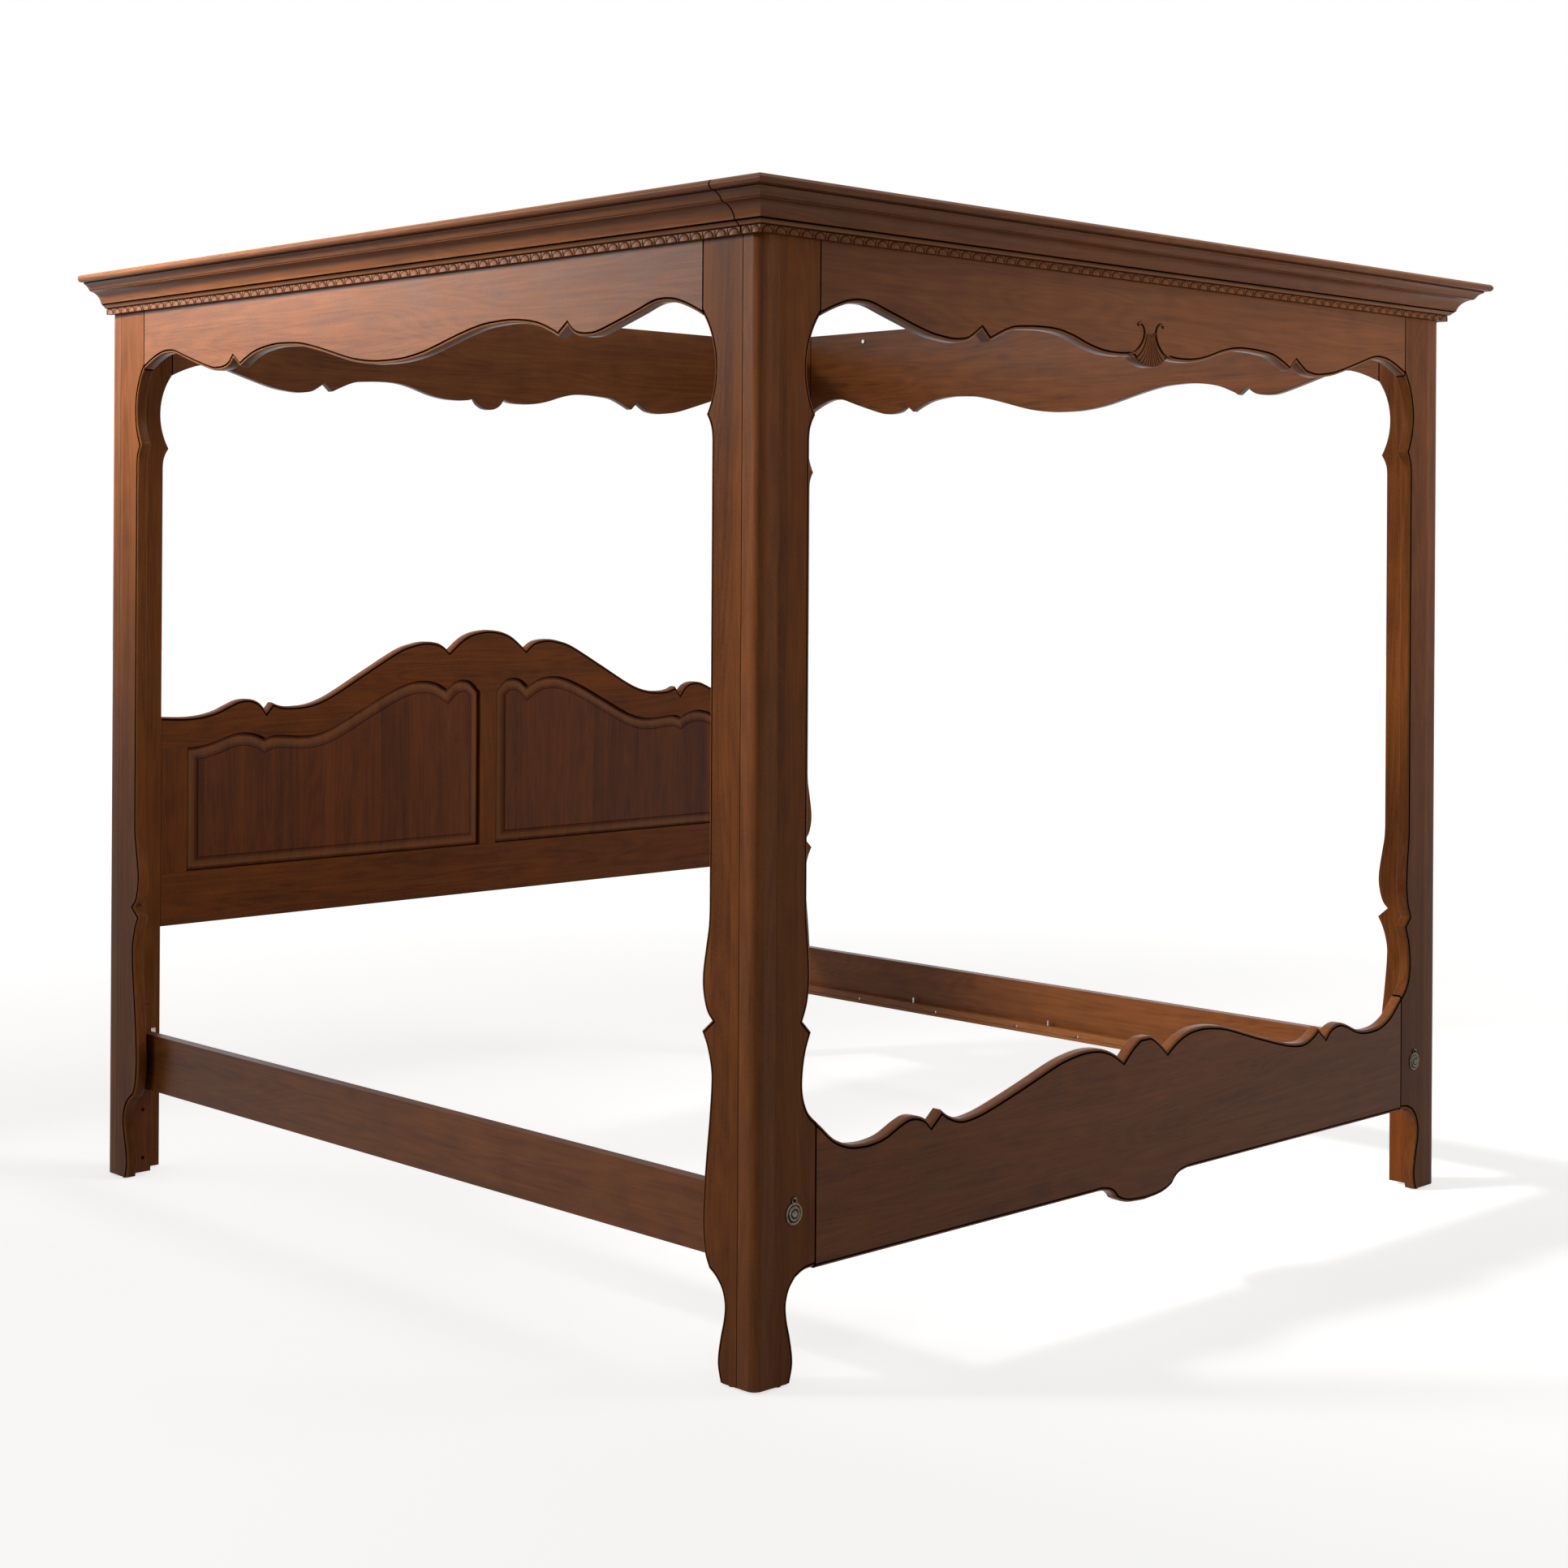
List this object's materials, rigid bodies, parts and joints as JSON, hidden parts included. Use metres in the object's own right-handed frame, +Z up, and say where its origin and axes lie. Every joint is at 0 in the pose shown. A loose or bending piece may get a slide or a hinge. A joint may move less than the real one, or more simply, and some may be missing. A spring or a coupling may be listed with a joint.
{
  "type": "canopy bed",
  "caption": "Wooden canopy bed with scroll-cut L-shaped posts and valances, a moulded carved cornice, a panelled headboard and swinging bolt covers.",
  "frame": {"origin": "on the floor, under the middle of the whole bed's box, cornice included", "axes": "+X to the right seen from the foot, +Y from foot to head, +Z up"},
  "size_m": [2.294, 2.2168, 2.03],
  "materials": {
    "stained_wood": "stained and satin varnished",
    "headboard_wood": "dark stain, satin varnished",
    "pale_wood": "light stain",
    "steel": "zinc plated",
    "pewter": "antique",
    "glide": "matt"
  },
  "bodies": {
    "bed": {"column_fl": "stained_wood", "column_fr": "stained_wood", "column_hl": "stained_wood", "column_hr": "stained_wood", "side_board_fl": "stained_wood", "side_board_fr": "stained_wood", "side_board_hl": "stained_wood", "side_board_hr": "stained_wood", "foot_board_fl": "stained_wood", "foot_board_fr": "stained_wood", "head_board_hl": "stained_wood", "head_board_hr": "stained_wood", "block_fl": "headboard_wood", "block_fr": "headboard_wood", "block_hl": "headboard_wood", "block_hr": "headboard_wood", "block_screws": "steel", "glides": "glide", "valance_foot": "stained_wood", "valance_head": "stained_wood", "valance_left": "stained_wood", "valance_right": "stained_wood", "shell": "stained_wood", "cornice_foot": "stained_wood", "cornice_left": "stained_wood", "cornice_right": "stained_wood", "cornice_screws": "steel", "head_crest": "headboard_wood", "head_bottom_rail": "headboard_wood", "head_stile_left": "headboard_wood", "head_stile_right": "headboard_wood", "head_muntin": "headboard_wood", "head_panel_left": "headboard_wood", "head_panel_right": "headboard_wood", "footboard": "stained_wood", "rail_left": "stained_wood", "rail_right": "stained_wood", "cleat_left": "pale_wood", "cleat_right": "pale_wood", "cleat_screws": "steel", "slat_pins": "steel", "bracket_fl": "steel", "bracket_fr": "steel", "bracket_hl": "steel", "bracket_hr": "steel", "bracket_screws": "steel", "bed_bolts": "steel", "bolt_nuts": "steel", "cover_screws": "pewter"},
    "cover_fl": {"bolt_cover_fl": "pewter"},
    "cover_fr": {"bolt_cover_fr": "pewter"},
    "cover_hl": {"bolt_cover_hl": "pewter"},
    "cover_hr": {"bolt_cover_hr": "pewter"}
  },
  "joints": [
    {"name": "cover_fl_swing", "type": "hinge", "parent": "bed", "child": "cover_fl", "pos_m": [-0.9715, -1.02485, 0.3123], "axis": [0, -1, 0], "continuous": true},
    {"name": "cover_fr_swing", "type": "hinge", "parent": "bed", "child": "cover_fr", "pos_m": [0.9715, -1.02485, 0.3123], "axis": [0, -1, 0], "continuous": true},
    {"name": "cover_hl_swing", "type": "hinge", "parent": "bed", "child": "cover_hl", "pos_m": [-0.9715, 1.10415, 0.3123], "axis": [0, 1, 0], "continuous": true},
    {"name": "cover_hr_swing", "type": "hinge", "parent": "bed", "child": "cover_hr", "pos_m": [0.9715, 1.10415, 0.3123], "axis": [0, 1, 0], "continuous": true}
  ]
}
